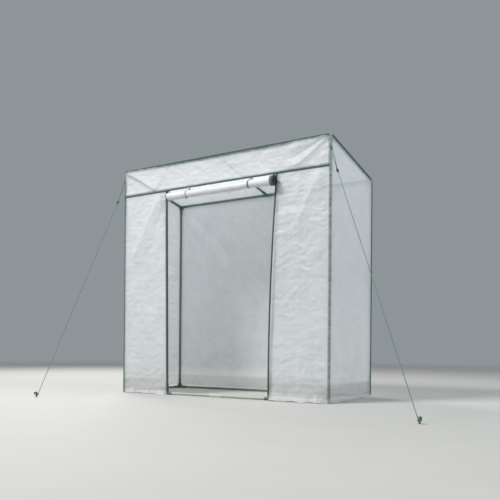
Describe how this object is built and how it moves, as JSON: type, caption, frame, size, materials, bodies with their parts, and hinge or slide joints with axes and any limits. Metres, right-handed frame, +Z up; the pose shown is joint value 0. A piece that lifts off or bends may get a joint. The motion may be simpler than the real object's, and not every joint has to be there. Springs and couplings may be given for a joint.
{
  "type": "lean-roof film greenhouse",
  "caption": "Free-standing tomato greenhouse: steel tube frame in moulded sockets, translucent film cover, roof falling to the back, door rolled up under the lintel, guy ropes at the front.",
  "frame": {"origin": "on the ground under the middle of the door sill, on the flat pad of the sill's coupling", "axes": "+X along the front towards its right corner as seen from outside, +Y from the front to the back, +Z up"},
  "size_m": [3.0294, 1.6371, 1.9298],
  "materials": {
    "steel_tube": "green powder coat, dusty and paler on the door sill",
    "connector": "moulded, slightly glossy",
    "film": "translucent mesh-reinforced polyethylene film, creased",
    "binding": "woven tape, stitched",
    "rope": "twisted cord",
    "slider": "moulded",
    "peg": "moulded"
  },
  "bodies": {
    "root": {"front_left_post": "steel_tube", "front_right_post": "steel_tube", "back_left_post": "steel_tube", "back_right_post": "steel_tube", "door_post_left": "steel_tube", "door_post_right": "steel_tube", "ridge_rail": "steel_tube", "lintel_rail": "steel_tube", "eave_rail": "steel_tube", "left_rafter": "steel_tube", "middle_rafter": "steel_tube", "right_rafter": "steel_tube", "front_ground_rail": "steel_tube", "left_ground_rail": "steel_tube", "right_ground_rail": "steel_tube", "back_ground_rail": "steel_tube", "ridge_corner_connectors": "connector", "eave_corner_connectors": "connector", "ground_corner_connectors": "connector", "roof_tee_connectors": "connector", "lintel_tee_connectors": "connector", "door_head_connectors": "connector", "door_foot_connectors": "connector", "sill_sleeve": "connector", "front_panel_left": "film", "front_panel_right": "film", "front_fascia": "film", "front_corner_films": "film", "left_side_panel": "film", "right_side_panel": "film", "back_panel": "film", "roof_panel": "film", "door_roll": "film", "ridge_binding": "binding", "eave_binding": "binding", "gable_bindings": "binding", "back_corner_bindings": "binding", "lintel_binding": "binding", "door_edge_bindings": "binding", "door_ties": "binding", "left_guy_rope": "rope", "right_guy_rope": "rope", "guy_sliders": "slider", "guy_pegs": "peg"}
  },
  "joints": []
}
